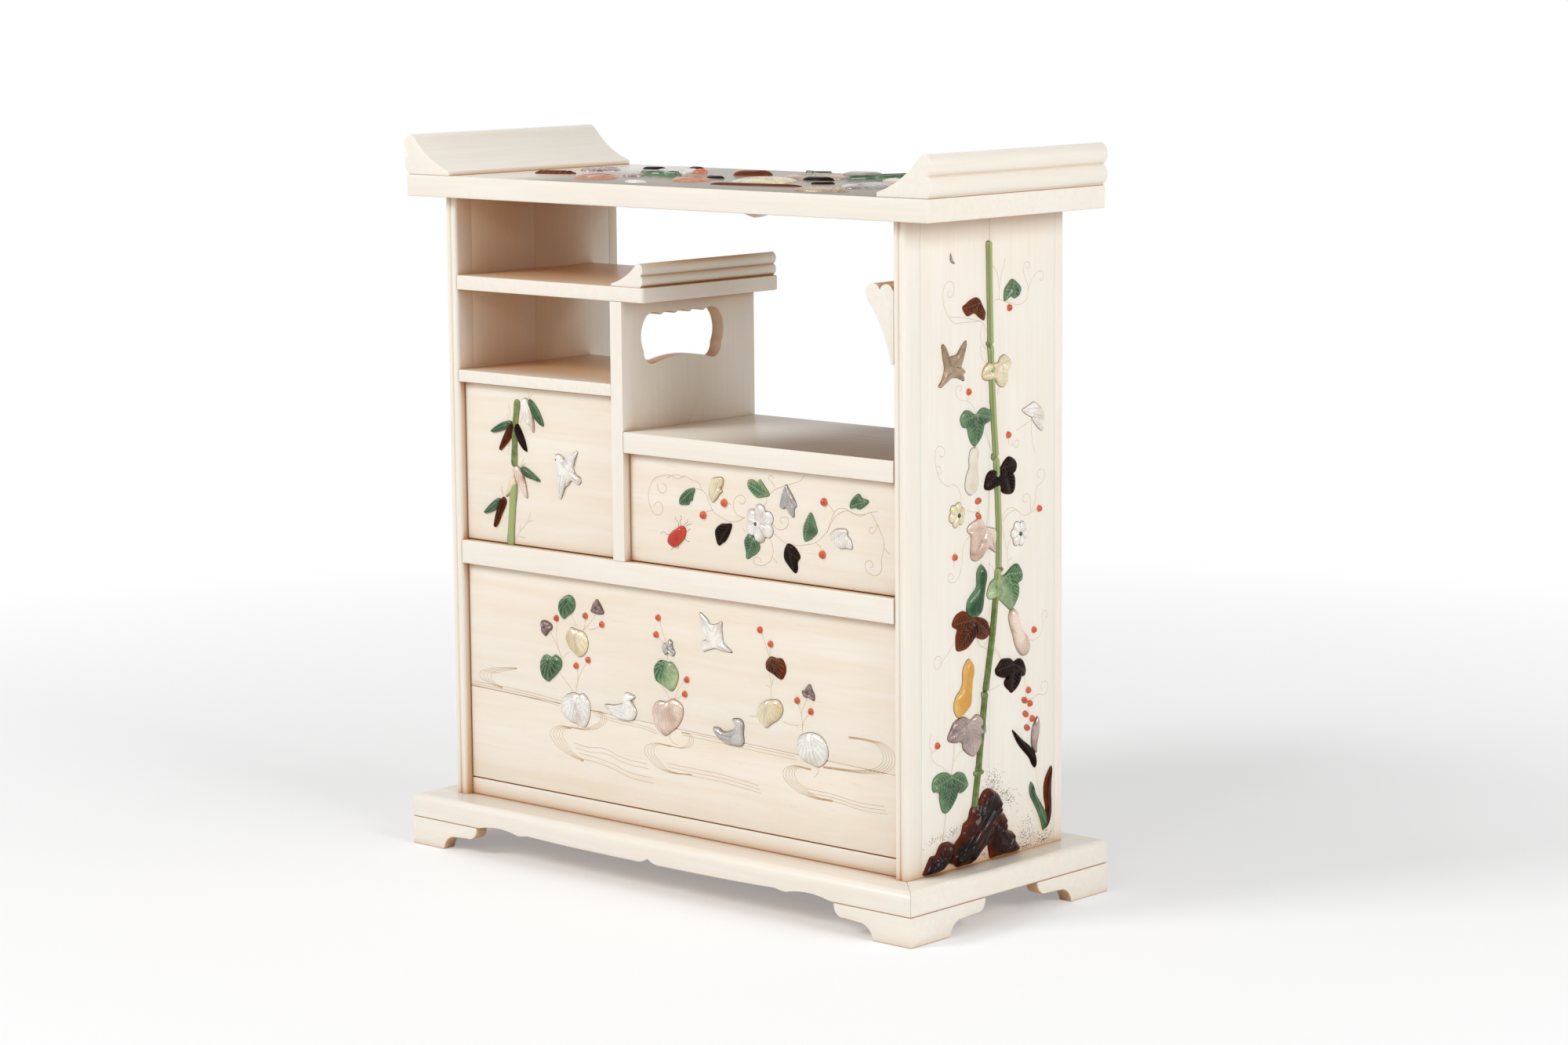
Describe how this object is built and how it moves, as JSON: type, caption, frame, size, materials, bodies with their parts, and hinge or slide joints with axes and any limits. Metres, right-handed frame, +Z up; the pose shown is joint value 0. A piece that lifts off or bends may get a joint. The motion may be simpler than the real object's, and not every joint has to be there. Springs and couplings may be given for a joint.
{
  "type": "table cabinet",
  "caption": "Small table cabinet in polished ivory-coloured boards: open display shelves with a pierced partition over sliding drawers, upturned top rails, bracket feet and raised nature inlay.",
  "frame": {"origin": "middle of the footprint, on the surface that the feet stand on", "axes": "+X to the cabinet's right seen from the front, +Y to the back, +Z up"},
  "size_m": [0.205, 0.087, 0.2142],
  "materials": {
    "ivory": "polished, fine long grain",
    "ivory_front": "polished, warmer, wavy grain",
    "green_inlay": "polished and carved, green",
    "pearl": "carved mother-of-pearl",
    "tortoiseshell": "polished dark brown with amber patches",
    "coral": "polished orange-red"
  },
  "bodies": {
    "cabinet": {"back_lower": "ivory", "back_upper_left": "ivory", "back_upper_right": "ivory", "base_back": "ivory", "base_front": "ivory", "base_left": "ivory", "base_right": "ivory", "bottom_rail": "ivory", "dust_board": "ivory", "floor_board": "ivory", "foot_back_left": "ivory", "foot_back_right": "ivory", "foot_front_left": "ivory", "foot_front_right": "ivory", "kickers": "ivory", "left_back_plank": "ivory", "left_back_stile": "ivory", "left_front_plank": "ivory", "left_front_stile": "ivory", "lower_shelf": "ivory", "mid_rail": "ivory", "middle_shelf": "ivory", "partition": "ivory", "right_back_plank": "ivory", "right_back_stile": "ivory", "right_front_plank": "ivory", "right_front_stile": "ivory", "right_wall_bracket": "ivory", "side_inlay_blooms": "pearl", "side_inlay_fruit": "coral", "side_inlay_leaves": "green_inlay", "side_inlay_rock": "tortoiseshell", "side_inlay_stem": "green_inlay", "top_board": "ivory", "top_rail_left": "ivory", "top_rail_right": "ivory", "top_shells": "tortoiseshell", "top_valance": "ivory", "upper_shelf": "ivory", "upper_shelf_rail": "ivory"},
    "left_drawer": {"left_drawer_back": "ivory", "left_drawer_bottom": "ivory", "left_drawer_front": "ivory_front", "left_drawer_inlay": "pearl", "left_drawer_side_left": "ivory", "left_drawer_side_right": "ivory"},
    "right_drawer": {"right_drawer_back": "ivory", "right_drawer_bottom": "ivory", "right_drawer_front": "ivory_front", "right_drawer_inlay": "pearl", "right_drawer_side_left": "ivory", "right_drawer_side_right": "ivory"},
    "wide_drawer": {"wide_drawer_back": "ivory", "wide_drawer_bottom": "ivory", "wide_drawer_front_lower": "ivory_front", "wide_drawer_front_upper": "ivory_front", "wide_drawer_inlay": "pearl", "wide_drawer_side_left": "ivory", "wide_drawer_side_right": "ivory"}
  },
  "joints": [
    {"name": "left_drawer_slide", "type": "slide", "parent": "cabinet", "child": "left_drawer", "axis": [0, -1, 0], "range_m": [0, 0.04]},
    {"name": "right_drawer_slide", "type": "slide", "parent": "cabinet", "child": "right_drawer", "axis": [0, -1, 0], "range_m": [0, 0.04]},
    {"name": "wide_drawer_slide", "type": "slide", "parent": "cabinet", "child": "wide_drawer", "axis": [0, -1, 0], "range_m": [0, 0.04]}
  ]
}
